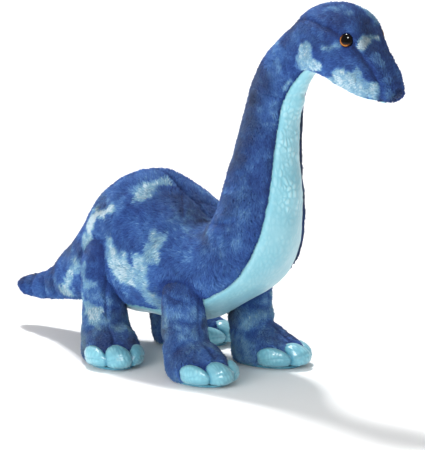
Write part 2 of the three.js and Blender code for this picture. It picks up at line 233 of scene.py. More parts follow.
print("seams and creases on the body", len(body_seams))

# Where the stuffing sinks (positive) or swells (negative): a line, mm and how wide it spreads, mm.
hollows = [
    (on_body([8, 9.8], [0, 0]), 5.5, 20),  # the saddle before the neck
    (on_body([6.8, 8.6], [30, 40]), 5.5, 22),  # the left shoulder's slope
    (on_body([6.5, 9], [180, 180]), -3.5, 20),  # the belly, weighed down by its beads
    (on_body([11.8, 13.6], [180, 180]), -2.8, 18),  # the chest
    (on_body([13.6, 16.2], [180, 180]), -2.0, 14),
    (on_body([16.2, 17.4], [175, 185]), -3.5, 11),  # the top of the throat
    (on_body([22.6, 24], [30, 34]), -2.6, 8),  # brow ridges over the eyes
    (on_body([22.6, 24], [-30, -34]), -1.6, 8),
    (on_body([25, 26.4], [-25, -25]), -2.2, 11),  # the snout's round top
    (on_body([25, 26.4], [25, 25]), -2.2, 11),
    (on_body([22.2, 23.8], [-150, -150]), -2.8, 10),  # the jaw's round underside
    (on_body([22.2, 23.8], [150, 150]), -2.8, 10),
    (on_body([25.4, 26.6], [-170, 170]), 1.8, 8),
    (on_body([20.5, 22.5], [-105, -105]), -2.0, 14),  # cheeks
    (on_body([20.5, 22.5], [105, 105]), -2.0, 14),
    (on_body([21.5, 23], [-78, -82]), 1.6, 6),  # under the eyes
    (on_body([21.5, 23], [78, 82]), 1.6, 6),
]

# %% [markdown]
# ## The legs as a second formula
# A leg is a column of ovals that swells into a foot. Each leg stands turned out by its own angle, as
# the real toy's legs do. The top closes into a dome inside the body, lower on the fore legs than on
# the thighs, so a crease runs where the leg comes out of the side. Leg and body joined into one
# mesh would round that crease away, so each stays its own grid.

# %% A point on a leg
foot_rows = np.array([
    [0, 20.5, 36.5, 23.5], [5, 22.5, 41.5, 27.5], [13, 22.5, 43, 29], [21, 17.5, 38, 28.5], [30, 9, 31, 26.5],
    [40, 2, 24.5, 24], [56, -1, 22.5, 22.5], [72, -2, 22.5, 22.5],
], float)
fore_top = np.array([[82, -2, 24, 22.5], [90, -2, 24, 21], [98, -2, 22, 17], [106, -2, 15, 9]], float)
hind_top = np.array([[88, -2, 25, 23], [102, -1, 27, 22.5], [116, 1, 26, 19], [130, 3, 20, 12]], float)
hip_spread = 47  # mm from the toy's middle plane to a leg's middle
legs = {
    "front_right": {"x": 31, "side": -1, "toe_out": 6, "top": fore_top},
    "front_left": {"x": 31, "side": 1, "toe_out": 12, "top": fore_top},
    "hind_right": {"x": -82, "side": -1, "toe_out": 28, "top": hind_top},
    "hind_left": {"x": -80, "side": 1, "toe_out": 36, "top": hind_top},
}


def leg_turn(leg):
    """The leg's turn about the upright: toe-out times its side, as the two columns of a rotation."""
    turn = leg["toe_out"] * leg["side"] * degrees
    return np.array([[np.cos(turn), -np.sin(turn)], [np.sin(turn), np.cos(turn)]])


def leg_point(leg, height, angle):
    """Ahead + half length x cos, half width x sin, at a height; turned and moved to the leg's place."""
    height, angle = np.broadcast_arrays(np.asarray(height, float), np.asarray(angle, float))
    rows = np.concatenate([foot_rows, leg["top"]])
    top = rows[-1, 0]
    row = smooth_rows(rows, np.interp(height, rows[:, 0], np.arange(len(rows))))
    dome = np.sqrt(np.clip(1 - np.clip((height - top) / 6, 0, 1) ** 2, 0.001, 1))
    along = row[..., 1] + row[..., 2] * dome * np.cos(angle)
    across = row[..., 3] * dome * np.sin(angle)
    spot = np.stack([along, across], -1) @ leg_turn(leg).T + [leg["x"], leg["side"] * hip_spread]
    return np.concatenate([spot, height[..., None]], -1)


def depth_in_leg(leg, points):
    """How far inside a leg's ovals each point lies, in mm; negative outside."""
    rows = np.concatenate([foot_rows, leg["top"]])
    local = (points[..., :2] - [leg["x"], leg["side"] * hip_spread]) @ leg_turn(leg)
    row = [np.interp(points[..., 2], rows[:, 0], rows[:, i]) for i in (1, 2, 3)]
    reach = np.hypot((local[..., 0] - row[0]) / row[1], local[..., 1] / row[2])
    inside = (1 - reach) * np.minimum(row[1], row[2])
    return np.where(points[..., 2] > rows[-1, 0], -10, inside)


def depth_in_body(points):
    """How far inside the body each point lies: a few Newton steps find its station, then the oval's sum."""
    middles = (outline[:, 0] + outline[:, 2]) / 2
    station = np.interp(points[..., 0], middles[:14], np.arange(14.0))
    for _ in range(6):
        row, ahead = smooth_rows(outline, station), smooth_rows(outline, station + 0.05)
        middle = np.stack([row[..., 0] + row[..., 2], row[..., 1] + row[..., 3]], -1) / 2
        travel = np.stack([ahead[..., 0] + ahead[..., 2], ahead[..., 1] + ahead[..., 3]], -1) / 2 - middle
        up = np.stack([row[..., 0] - row[..., 2], row[..., 1] - row[..., 3]], -1) / 2
        size = np.linalg.norm(up, axis=-1)
        forward = np.stack([up[..., 1], -up[..., 0]], -1) / size[..., None]
        offset = points[..., [0, 2]] - middle
        slope = (travel * forward).sum(-1) / 0.05
        station = np.clip(station + (offset * forward).sum(-1) / np.maximum(slope, 5), 0.5, 13)
    rise = np.abs((offset * up).sum(-1)) / size**2
    out = (rise**roundness + np.abs(points[..., 1] / row[..., 4]) ** roundness) ** (1 / roundness)
    return (1 - out) * np.minimum(size, row[..., 4])


print("a foot's toe end", leg_point(legs["front_right"], 14.0, 0.0).round(1))

# %% [markdown]
# ## From a formula to a mesh
# A grid of points becomes quads, and the arrays go into the mesh in one call each. A panel gets an
# inner layer and a rim, so it is a closed piece of cloth with a real thickness, and its faces point
# outwards. A Solidify modifier would do that to the cloth, and to the pile in the same mesh as well.

# %% Grids, normals and meshes
cloth = 1.2  # mm, the backing under the pile


def normals_of(grid, round_first=False):
    """The cross product of the grid's two directions, made one long; it points away from the skin."""
    along = np.gradient(grid, axis=0)
    around = np.gradient(grid, axis=1)
    if round_first:
        around = (np.roll(grid, -1, 1) - np.roll(grid, 1, 1)) / 2
    cross = np.cross(along, around)
    return cross / np.maximum(np.linalg.norm(cross, axis=-1, keepdims=True), 1e-9)


def grid_quads(rows, columns, closed):
    """The four corners of each cell, in an order that faces along the grid's normal."""
    i, j = np.meshgrid(np.arange(rows - 1), np.arange(columns if closed else columns - 1), indexing="ij")
    right = (j + 1) % columns
    here, below = i * columns, (i + 1) * columns
    return np.stack([here + j, below + j, below + right, here + right], -1).reshape(-1, 4)


def sheet_of(grid, thickness=cloth, closed=False):
    """The grid, a copy moved inwards by the thickness and turned over, and quads round the open edges."""
    rows, columns = grid.shape[:2]
    inner = grid - normals_of(grid, closed) * thickness
    outer_quads = grid_quads(rows, columns, closed)
    inner_quads = outer_quads[:, ::-1] + rows * columns
    index = np.arange(rows * columns).reshape(rows, columns)
    ends = [index[0], index[-1][::-1]]
    if closed:
        ends = [np.append(index[0], index[0, 0]), np.append(index[-1], index[-1, 0])[::-1]]
    else:
        ends += [index[::-1, 0], index[:, -1]]
    step = rows * columns
    rims = [np.stack([edge[1:], edge[:-1], edge[:-1] + step, edge[1:] + step], -1) for edge in ends]
    points = np.concatenate([grid.reshape(-1, 3), inner.reshape(-1, 3)])
    return points, np.concatenate([outer_quads, inner_quads, *rims])


def new_piece(name, points, quads, triangles, material, numbers, leans=None):
    """Whole arrays into one mesh: points (none under the floor), faces, numbers per point, normals."""
    mesh = bpy.data.meshes.new(name)
    corners = np.concatenate([quads.ravel(), triangles.ravel()]).astype(np.int32)
    sizes = np.repeat([4, 3], [len(quads), len(triangles)])
    mesh.vertices.add(len(points))
    above_floor = np.concatenate([points[:, :2], np.maximum(points[:, 2:], 0)], axis=1)
    mesh.vertices.foreach_set("co", to_frame(above_floor).astype(np.float32).ravel())
    mesh.loops.add(len(corners))
    mesh.loops.foreach_set("vertex_index", corners)
    mesh.polygons.add(len(sizes))
    mesh.polygons.foreach_set("loop_start", np.concatenate([[0], np.cumsum(sizes)[:-1]]).astype(np.int32))
    mesh.polygons.foreach_set("use_smooth", np.ones(len(sizes), bool))
    mesh.update(calc_edges=True)
    for word, values in numbers.items():
        mesh.attributes.new(word, "FLOAT", "POINT").data.foreach_set("value", values.astype(np.float32))
    mesh.materials.append(material)
    if leans is not None:
        mesh.normals_split_custom_set_from_vertices(leans.astype(np.float32))
    piece = bpy.data.objects.new(name, mesh)
    bpy.context.scene.collection.objects.link(piece)
    print(name, len(quads) * 2 + len(triangles), "triangles")
    return piece


def flat_map(piece, across, up):
    """Lays the mesh out by two of its own numbers, so that a colour that depends on them stays exact."""
    mesh = piece.data
    corner = np.empty(len(mesh.loops), np.int32)
    mesh.loops.foreach_get("vertex_index", corner)
    spots = np.stack([across, up], -1)[corner] * 0.98 + 0.01
    mesh.uv_layers.new(name="OFBake").data.foreach_set("uv", spots.astype(np.float32).ravel())


print("a grid of 3 by 4 points has", len(grid_quads(3, 4, False)), "quads")

# %% [markdown]
# ## Finishes
# Every colour is an sRGB hex value, and one function turns it to the linear numbers that Blender
# mixes in. One more function adds a node with its settings and links.

# %% Colours and nodes


def linear(code, alpha=1.0):
    """An sRGB hex value as linear light: each channel over 255, then the sRGB curve undone."""
    parts = np.array([int(code[i:i + 2], 16) for i in (1, 3, 5)]) / 255
    parts = np.where(parts <= 0.04045, parts / 12.92, ((parts + 0.055) / 1.055) ** 2.4)
    return (*parts.tolist(), alpha)


def add_node(material, kind, settings=None, **links):
    """Adds a node, sets its properties and sockets, and links its inputs from (node, output) pairs."""
    node = material.node_tree.nodes.new(kind)
    for key, value in (settings or {}).items():
        if isinstance(key, int) or key in node.inputs:
            node.inputs[key].default_value = value
        else:
            setattr(node, key, value)
    for key, (source, output) in links.items():
        target = int(key[1:]) if key.startswith("_") else key.replace("__", " ")
        material.node_tree.links.new(source.outputs[output], node.inputs[target])
    return node


def new_finish(name, **shader):
    """A named material with its own shader node and nothing else, and the shader's fixed numbers."""
    material = bpy.data.materials.new(name)
    material.use_nodes = True
    surface = material.node_tree.nodes["Principled BSDF"]
    for key, value in shader.items():
        surface.inputs[key.replace("_", " ")].default_value = value
    return material, surface


def ramp(material, source, stops):
    """A colour ramp from a few places and colours, read at the source's value."""
    node = add_node(material, "ShaderNodeValToRGB", _0=source)
    while len(node.color_ramp.elements) < len(stops):
        node.color_ramp.elements.new(0.5)
    for element, (place, colour) in zip(node.color_ramp.elements, stops):
        element.position = place
        element.color = linear(colour)
    return node


print("middle grey in linear light", round(linear("#808080")[0], 3))

# %% [markdown]
# ## Blue plush: dyed polyester pile, cut short and brushed
# The pile is dyed in patches, from navy to a washed-out aqua. Its colour also carries painted shade:
# each fibre is drawn darker at its root, where its neighbours shade it, and darker along seams and
# creases. So the colour needs only two numbers, which every point of the pile carries: how pale the
# dye is, with the seams' painted shade and a few painted highlights in it, and how far up the fibre
# the point lies, which sets the painted shade at the root. Sheen gives the soft light rim that
# brushed fibre shows where the skin turns away.

# %% Blue plush
plush, surface = new_finish("dyed_polyester_plush_brushed", Roughness=0.85, Sheen_Weight=0.22,
                            Sheen_Roughness=0.5, Sheen_Tint=linear("#BFD0EE"), Specular_IOR_Level=0.25)
dye = add_node(plush, "ShaderNodeAttribute", {"attribute_name": "dye"})
pile = add_node(plush, "ShaderNodeAttribute", {"attribute_name": "pile"})
dyed = ramp(plush, (dye, "Fac"), [(0.0, "#1A2F6C"), (0.28, "#2A4A8C"), (0.5, "#416AAB"), (0.66, "#6593C2"),
                                  (0.84, "#85B4CA"), (1.0, "#D2E6EC")])
# Painted shade: this ramp darkens each lock towards its root, and the cloth between the locks.
shaded = ramp(plush, (pile, "Fac"), [(0.0, "#8E8E9A"), (0.45, "#D2D4DC"), (1.0, "#FFFFFF")])
mixed = add_node(plush, "ShaderNodeMix", {"data_type": "RGBA", "blend_type": "MULTIPLY", "Factor": 1.0},
                 _6=(dyed, "Color"), _7=(shaded, "Color"))
plush.node_tree.links.new(mixed.outputs[2], surface.inputs["Base Color"])
print("finish", plush.name)

# %% [markdown]
# ## Aqua velour: short knit with a pressed, pearly film
# The pale fabric is shaved short, embossed with pebbles and coated, so it gleams where the blue
# plush stays dull. The pebbles are real relief in the mesh. The finish adds the colour's slow drift,
# a fine knit bump about 0.7 mm wide, drawn coarser than life so that it shows, and a thin clear coat
# for the gleam.

# %% Aqua velour


def velour(name, pale, deep, roughness, coat):
    """Pebble height picks between two colours, and on the toes painted shade and highlight too; slow clouds
    and a fine knit vary colour and bump.
    """
    material, surface = new_finish(name, Roughness=roughness, Coat_Weight=coat, Coat_Roughness=0.28,
                                   Sheen_Weight=0.2, Sheen_Roughness=0.4, Sheen_Tint=linear("#E6FAFF"))
    place = add_node(material, "ShaderNodeTexCoord")
    height = add_node(material, "ShaderNodeAttribute", {"attribute_name": "pebble"})
    coarse, fine = {"Scale": 38.0, "Detail": 3.0}, {"Scale": 1400.0, "Detail": 1.0}
    clouds = add_node(material, "ShaderNodeTexNoise", coarse, Vector=(place, "Object"))
    knit = add_node(material, "ShaderNodeTexNoise", fine, Vector=(place, "Object"))
    blend = add_node(material, "ShaderNodeMath", {"operation": "MULTIPLY_ADD", 1: 0.5},
                     _0=(clouds, "Fac"), _2=(height, "Fac"))
    colour = ramp(material, (blend, "Value"), [(0.2, deep), (1.0, pale)])
    bump = add_node(material, "ShaderNodeBump", {"Strength": 0.25, "Distance": 0.0004}, Height=(knit, "Fac"))
    material.node_tree.links.new(colour.outputs["Color"], surface.inputs["Base Color"])
    material.node_tree.links.new(bump.outputs["Normal"], surface.inputs["Normal"])
    return material


throat_velour = velour("embossed_polyester_velour_pearl", "#B8DEE4", "#74B2C2", 0.36, 0.3)
toe_velour = velour("embossed_polyester_velour_toes", "#88C6D2", "#3F88A2", 0.32, 0.45)
print("finishes", throat_velour.name, toe_velour.name)

# %% [markdown]
# ## Growing the pile
# Thousands of hair strands would be lost in an exported model, so each lock of pile is real
# geometry: a leaf with four corners, which are a root, a left and a right shoulder, and a tip. It leans
# along the way the cloth was brushed. Roots are spread evenly by area. Clouds turn the lean a little
# from place to place, which gives plush its brushed patches, and locks near a seam are short.

# %% Locks of pile
lock_width = 1.25  # mm, coarser than life so that a lock shows
backing_depth = 2.5  # mm from the brushed surface down to the backing cloth
most_locks = 38000  # four triangles each, so a piece stays under 200,000
lock_lean = 0.62  # radians that a lock stands up from the cloth, on average
seam_trim = 0.5  # the share of its length that a lock loses on a seam
painted_seam_shade = 0.2  # painted shade: how much darker a lock is drawn on a seam or crease
# Painted shade: the lower a corner sits on the pile, the darker it is drawn.
pile_at_corners = [0.1, 0.6, 0.6, 1.0]  # how far up the pile a lock's root, shoulders and tip count
backing_pile = 0.5  # the same for the cloth between the locks


def unit(vectors):
    """Each vector over its own length."""
    return vectors / np.maximum(np.linalg.norm(vectors, axis=-1, keepdims=True), 1e-9)


def spread(grid, keep, density, seed):
    """Cells drawn by their share of the kept area, with an even comb of picks and a free place in each."""
    rng = np.random.default_rng(seed)
    diagonals = np.cross(grid[1:, 1:] - grid[:-1, :-1], grid[:-1, 1:] - grid[1:, :-1])
    kept = (keep[1:, 1:] + keep[:-1, :-1] + keep[:-1, 1:] + keep[1:, :-1]) / 4
    weight = (np.linalg.norm(diagonals, axis=-1) / 2 * kept).ravel()
    count = int(min(most_locks, weight.sum() * density))
    shares = np.cumsum(weight) / weight.sum()
    cell = np.searchsorted(shares, (np.arange(count) + rng.random(count)) / count)
    i, j = np.unravel_index(np.minimum(cell, len(weight) - 1), kept.shape)
    u, v = rng.random((2, count, 1))

    def read(field):
        """The field at each root: a blend of its cell's four corners."""
        field = field if field.ndim == 3 else field[..., None]
        low = field[i, j] * (1 - v) + field[i, j + 1] * v
        high = field[i + 1, j] * (1 - v) + field[i + 1, j + 1] * v
        return low * (1 - u) + high * u

    return read, count, rng


print("a lock stands", round(lock_lean / degrees), "degrees up from the cloth")

# %% The shape of each lock


def locks(grid, comb, near, dye_field, keep, density, length, seed):
    """Root, shoulders and tip of each lock: length x (lean cos along the comb + lean sin outwards)."""
    read, count, rng = spread(grid, keep, density, seed)
    root, out = read(grid), unit(read(normals_of(grid)))
    closeness = read(near)
    swirl = (cloudy(root, 26, seed + 1) - 0.5) * 2.2 + (cloudy(root, 7, seed + 2) - 0.5) * 1.3
    swirl = (swirl + rng.normal(0, 0.22, count))[:, None]
    flow = read(comb)
    flow = unit(flow - out * (flow * out).sum(-1, keepdims=True))
    across = np.cross(out, flow)
    turned = flow * np.cos(swirl) + across * np.sin(swirl)
    flow, across = turned, np.cross(out, turned)
    lift = lock_lean + (cloudy(root, 12, seed + 3)[:, None] - 0.5) * 0.5 + rng.normal(0, 0.12, (count, 1))
    long = length * (1 - seam_trim * closeness) * rng.uniform(0.8, 1.2, (count, 1))
    strand = flow * np.cos(lift) + out * np.sin(lift)
    early = flow * np.cos(lift + 0.35) + out * np.sin(lift + 0.35)
    start = root - out * 0.3
    middle = start + early * long * 0.5
    width = lock_width * rng.uniform(0.7, 1.3, (count, 1))
    half = across * width / 2
    corners = np.stack([start, middle + half, middle - half, start + strand * long], 1)
    top = out * np.cos(lift) - flow * np.sin(lift)
    leans = np.stack([top, top + across * 0.5, top - across * 0.5, top * 0.6 + out * 0.5], 1)
    shade = (cloudy(root, 4, seed + 4) - 0.5) * 0.2 + (cloudy(root, 18, seed + 5) - 0.5) * 0.16
    # Painted shade: a lock on a seam or crease, or near an eye or a leg, is drawn darker.
    colour = read(dye_field)[:, 0] + shade - painted_seam_shade * closeness[:, 0] + rng.normal(0, 0.055, count)
    dye_values = np.repeat(np.clip(colour, 0, 1), 4)
    pile_values = np.tile(pile_at_corners, count)
    first = np.arange(count)[:, None] * 4
    faces = np.concatenate([first + [0, 2, 1], first + [3, 1, 2], first + [0, 1, 3], first + [0, 3, 2]])
    return corners.reshape(-1, 3), faces, unit(leans).reshape(-1, 3), dye_values, pile_values


print("how far up the pile a lock's corners count", pile_at_corners)

# %% Cloth and locks as one piece


def plush_piece(name, grid, comb, near, dye_field, keep, density, length, seed):
    """A closed sheet of backing cloth with its locks on it, as one mesh."""
    points, quads = sheet_of(grid)
    out = normals_of(grid).reshape(-1, 3)
    hair, faces, leans, hair_dye, hair_pile = locks(grid, comb, near, dye_field, keep, density, length, seed)
    # Painted shade: the cloth between the locks is drawn darker near seams and creases.
    skin_dye = np.tile(np.clip(dye_field - 0.12 * near, 0, 1).ravel(), 2)
    skin_pile = np.full(len(points), backing_pile)
    numbers = {"dye": np.concatenate([skin_dye, hair_dye]), "pile": np.concatenate([skin_pile, hair_pile])}
    piece = new_piece(name, np.concatenate([points, hair]), quads, faces + len(points), plush,
                      numbers, np.concatenate([out, -out, leans]))
    flat_map(piece, numbers["dye"], numbers["pile"])
    return piece


print("the most locks on a piece", most_locks)

# %% [markdown]
# ## Patches of pale dye, and painted highlights
# The plush is printed with pale, ragged patches. Each is a stroke across the skin from place to
# place, with a width in millimetres and a paleness. Its edge is pushed in and out by a fine cloud,
# so it frays along the pile as a print on plush does. A few strokes are not print but painted
# highlights, where the brushed pile of the saddle, the crown and the snout catches the light. The far
# side of the toy has its own patches. A noise texture would scatter patches anywhere, and a stroke
# puts each one in its own place.

# %% The strokes
# Stations, angles from the back line in degrees, half width in mm, and how pale.
near_marks = [
    ([7.7, 7.6, 7.4], [-6, -20, -36], 8.5, 0.88),  # over the back
    ([6.7, 6.1], [-54, -66], 4.5, 1.0),  # a small cream lick on the rump
    ([6, 5.5], [-60, -85], 9, 0.97),  # rump
    ([5.5, 5], [-85, -100], 3, 0.85),
    ([5, 4, 3.5], [-95, -105, -120], 8, 0.9),  # root of the tail
    ([2.5, 2.5], [-60, -100], 3, 0.7),
    ([7.2, 7.9], [-100, -104], 15, 0.88),  # the palm of a hand shape on the flank
    ([6.9, 6.8], [-98, -84], 8, 0.88),
    ([7.8, 8.1, 8.7], [-108, -92, -68], 11, 0.86),
    ([7.9, 8.4], [-112, -132], 9, 0.76),
    ([8.7, 9.3], [-60, -48], 3, 0.66),
    ([9.0, 9.9], [-16, -42], 4, 0.62),  # painted highlights, where the brushed pile of the saddle catches the light
    ([8.5, 9.1], [-14, -34], 3, 0.6),
    ([17, 17.5], [-135, -145], 4, 0.8),  # under the jaw
    ([16, 16], [-95, -105], 2.5, 0.72),
    ([20.6, 20.9], [-106, -118], 13, 0.88),  # cheek
    ([19.9, 19.6], [-130, -142], 7, 0.86),
    ([21.9, 22.6], [-88, -78], 3.6, 0.9),  # a lick behind the eye
    ([23.9, 24], [-52, 10], 4.2, 1.0),  # brow
    ([22.2, 23.2], [20, 26], 6, 0.7),
    ([23.2, 25.4], [-116, -108], 13, 0.86),  # lower jaw
    ([24.3, 25.2], [-84, -88], 4, 0.72),
    ([21.5, 23.5], [-146, -140], 6, 0.84),
    ([26.5, 27], [-60, -50], 4, 0.62),
    ([21.4, 22.6], [-30, -18], 6, 0.6),  # painted highlights, where the brushed pile of the crown and the snout catches the light
    ([24.8, 26], [-18, -26], 5, 0.58),
]
far_marks = [
    ([8, 8], [30, 60], 8, 0.88),
    ([6.5, 5.5], [50, 75], 8, 0.9),
    ([4.5, 3.5], [85, 115], 7, 0.88),
    ([6.5, 7.5], [95, 110], 11, 0.9),
    ([7.5, 8, 9], [105, 80, 60], 5, 0.85),
    ([13, 14], [60, 75], 4, 0.75),
    ([17, 17.5], [130, 145], 5, 0.82),
    ([20, 21], [100, 110], 9, 0.9),
    ([22, 23], [92, 80], 2.5, 0.85),
    ([24, 25.5], [98, 112], 9, 0.84),
]
body_marks = [(on_body(at, angle, 12), half, pale) for at, angle, half, pale in near_marks + far_marks]


def print_and_highlights(points, marks, ground, seed):
    """The ground's dye, raised towards each stroke's paleness inside its frayed edge: printed patches, and a
    few painted highlights.
    """
    fray = (cloudy(points * [1.0, 1.0, 0.5], 3.4, seed) - 0.5) * 9 + (cloudy(points, 11, seed + 1) - 0.5) * 12
    for line, half, pale in marks:
        inside = step_up(half - distance_to(points, line) + fray * min(1, half / 8), -1.8, 2.4)
        ground = ground + (pale - ground) * inside
    return ground


def ground_dye(points, level, seed):
    """The level, drifting slowly, in smaller patches and in short streaks down the pile: three clouds."""
    streaks = step_up(cloudy(points * [1, 1, 0.4], 6, seed + 2), 0.55, 0.95) * 0.16
    slow, small = cloudy(points, 34, seed) - 0.5, cloudy(points, 11, seed + 1) - 0.5
    return level + slow * 0.24 + small * 0.18 + streaks


print("patches on the body", len(body_marks))

# %% [markdown]
# ## The blue panels of tail, trunk, neck and head
# Each piece covers a run of stations and of angles. The trunk moves as one. The tail, the neck and
# the head have to bend over a hinge, and every cut between pieces lies where neighbours move alike,
# but here those pieces are not blended between two bodies and follow none. The pile leans back and
# down from the ridge of the back.

# %% The eyes' places
eye_station, eye_angle, eye_radius = 23, 62, 7.0  # mm
eyes = {}
for word, side in (("right", -1), ("left", 1)):
    middle = body(eye_station, side * eye_angle * degrees)
    ahead = body(eye_station + 0.1, side * eye_angle * degrees) - middle
    around = body(eye_station, side * eye_angle * degrees + 0.05) - middle
    eyes[word] = (middle, unit(np.cross(ahead, around)))
    print(word, "eye", middle.round(1), "faces", eyes[word][1].round(2))

# %% The trunk's surface with its seams


lump_sizes = [(42, 3.0, 3), (16, 0.8, 4)]  # each cloud of stuffing: how wide, how high in mm, and its seed


def soft_body(stations, angles, depth):
    """The body's oval, moved along its normal: lumps of stuffing, less the seams' valleys and a depth."""
    bare = body(stations, angles)
    out = normals_of(bare)
    dip = np.zeros(bare.shape[:2])
    near = np.zeros(bare.shape[:2])
    for line, deep, wide in body_seams:
        bell = np.exp(-(distance_to(bare, line) / wide) ** 2)
        dip = np.maximum(dip, deep * bell)
        near = np.maximum(near, bell)
    # Round each eye the skin sinks into a socket. Its closeness later shortens the pile there and darkens it
    # as painted shade.
    for middle, _ in eyes.values():
        bell = np.exp(-(np.linalg.norm(bare - middle, axis=-1) / (eye_radius + 2)) ** 4)
        dip = np.maximum(dip, 1.2 * bell)
        near = np.maximum(near, 0.8 * bell)
    lumps = sum((cloudy(bare, wide, seed) - 0.5) * high for wide, high, seed in lump_sizes)
    for line, deep, wide in hollows:
        lumps = lumps - deep * np.exp(-(distance_to(bare, line) / wide) ** 2)
    return bare + out * (lumps - dip - depth)[..., None], near


def body_plush(name, first, final, sides, columns, spacing, density, length, seed):
    """A panel from the back line to the belly seam, on one side or both, with its pile."""
    stations = stations_every(max(first, 0), min(final, last), spacing)
    ends = np.linspace(0, 1, 5)[1:]
    if first < 0:
        stations = np.concatenate([-ends[::-1], stations])
    if final > last:
        stations = np.concatenate([stations, last + ends])
    share = np.linspace(sides[0], sides[1], columns)
    angles = share * (np.pi - seam_angle(belly_seam, stations))[:, None]
    stations = np.broadcast_to(stations[:, None], angles.shape)
    grid, near = soft_body(stations, angles, backing_depth)
    along, around = unit(np.gradient(grid, axis=0)), unit(np.gradient(grid, axis=1))
    comb = -0.8 * along + 0.6 * np.tanh(4 * share)[None, :, None] * around
    in_leg = np.max([depth_in_leg(leg, grid) for leg in legs.values()], axis=0)
    # Where a leg comes out of the body, the pile is short and drawn darker: painted shade between the parts.
    near = np.maximum(near, np.exp(-(np.minimum(in_leg, 0) / 4) ** 2) * (in_leg > -14))
    keep = (in_leg < 2).astype(float)
    for middle, _ in eyes.values():
        keep *= np.linalg.norm(grid - middle, axis=-1) > eye_radius - 0.3
    level = 0.42 - 0.04 * step_up(stations, 11, 13) - 0.05 * step_up(stations, 17, 19)
    dye_field = print_and_highlights(grid, body_marks, ground_dye(grid, level, 11), 13)
    return plush_piece(name, grid, comb, near, dye_field, keep, density, length, seed)


def hinge_blend(piece, name, parent, child, direction, reach):
    """Bakes the piece's placing into its points; the joint's place and a step along the direction are worked
    out, but nothing is blended over the joint.
    """
    place, step = np.array(joints[name]["pos_m"]), np.array(direction) * reach / 1000
    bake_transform(piece)


tail_hinge = ("tail_wag", "torso", "tail", (-1, 0, 0), 28)
neck_hinge = ("neck_bend", "torso", "neck", (0.19, 0, 0.98), 25)
head_hinge = ("head_nod", "neck", "head", (0.83, 0, 0.56), 26)
cuts = {"tail": 4.6, "neck": 11.4, "head": 16.5}  # stations where one piece ends and the next begins
print("the skin is cut at stations", cuts)

# %% Tail, trunk, neck and head
tail_plush = body_plush("tail_plush", -1, cuts["tail"], (-1, 1), 110, 3, 1.2, 5, 100)
hinge_blend(tail_plush, *tail_hinge)
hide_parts("tail_panel_left", "tail_panel_right", "tail_stuffing")
body_plush_right = body_plush("body_plush_right", cuts["tail"], cuts["neck"], (-1, 0), 75, 3, 1.2, 5.5, 200)
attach(body_plush_right, "torso")
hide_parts("body_panel_right", "torso_stuffing", "belly_bead_pouch")
body_plush_left = body_plush("body_plush_left", cuts["tail"], cuts["neck"], (0, 1), 75, 3, 1.2, 5.5, 300)
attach(body_plush_left, "torso")
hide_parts("body_panel_left")
neck_plush = body_plush("neck_plush", cuts["neck"], cuts["head"], (-1, 1), 110, 3, 1.4, 5, 400)
hinge_blend(neck_plush, *neck_hinge)
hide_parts("neck_panel_left", "neck_panel_right", "neck_stuffing")
head_plush = body_plush("head_plush", cuts["head"], last + 1, (-1, 1), 120, 2.2, 1.7, 4, 500)
hinge_blend(head_plush, *head_hinge)
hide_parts("face_panel_left", "face_panel_right", "crown_panel", "head_stuffing")

# %% [markdown]
# ## The aqua panel from chin to belly
# This one long panel is pressed with pebbles, drawn out along the neck. A jittered lattice of
# middles gives each pebble its own place, and the height is the gap between the nearest and the
# second nearest middle, so the pebbles meet in narrow channels. The panel's long edges dive into the
# seam, where the blue pile leans over them.

# %% Pebbled velour


def pebbles(along, across, size, seed):
    """Second nearest less nearest distance to a jittered lattice of middles, smoothed: 0 to 1."""
    rng = np.random.default_rng(seed)
    shift = rng.uniform(0.02, 0.98, (64, 64, 2))
    spots = np.stack([along, across, 0 * along], -1)
    bend = (cloudy(spots, 9, seed + 1) - 0.5) * 5
    at = np.stack([(along + bend) / (size * 1.5), (across + bend * 0.6) / size], -1)
    corner = np.floor(at).astype(int)
    gaps = []
    for i, j in np.ndindex(3, 3):
        cell = corner + [i - 1, j - 1]
        middle = cell + shift[cell[..., 0] % 64, cell[..., 1] % 64]
        gaps.append(np.linalg.norm(at - middle, axis=-1))
    first, second = np.sort(gaps, axis=0)[:2]
    soft = 0.35 + 0.65 * step_up(cloudy(spots, 7, seed + 2), 0.25, 0.65)
    return step_up(second - first, 0.0, 0.6) * soft


pebble_size, pebble_height, edge_drop = 4.6, 0.8, 2.2  # mm
panel_depth = 0.8  # mm below the brushed surface of the plush beside it
panel_stations = np.linspace(0, last, 700)
panel_middle = body(panel_stations, 0 * panel_stations + np.pi)
panel_steps = np.linalg.norm(np.diff(panel_middle, axis=0), axis=1)
panel_length = np.concatenate([[0], np.cumsum(panel_steps)])  # mm along the panel, the same for each piece


def velour_panel(name, first, final):
    """The belly wedge of the body, a millimetre under the pile, with pebbles up and edges down."""
    stations = stations_every(first, final, 1.1)
    share = np.linspace(-1, 1, 73)
    half = seam_angle(belly_seam, stations)[:, None]
    angles = np.pi + share * half
    stations = np.broadcast_to(stations[:, None], angles.shape)
    grid, _ = soft_body(stations, angles, panel_depth)
    out = normals_of(grid)
    along = np.interp(stations, panel_stations, panel_length)
    across = (share * half) * np.interp(stations, np.arange(last + 1), outline[:, 4])
    height = pebbles(along, across + 200, pebble_size, 21)
    bold = step_up(stations, 12.4, 13.5) * step_up(16.6 - stations, 0, 1.2)
    strength = 0.35 + 0.65 * bold * step_up(cloudy(grid, 24, 22), 0.2, 0.55)
    drop = edge_drop * np.abs(share) ** 10
    grid = grid + out * (height * strength * pebble_height - drop)[..., None]
    points, quads = sheet_of(grid)
    none = np.zeros((0, 3), int)
    tone = np.tile((height * strength).ravel(), 2) * 0.45
    facing = normals_of(grid).reshape(-1, 3)
    leans = np.concatenate([facing, -facing])
    return new_piece(name, points, quads, none, throat_velour, {"pebble": tone}, leans)


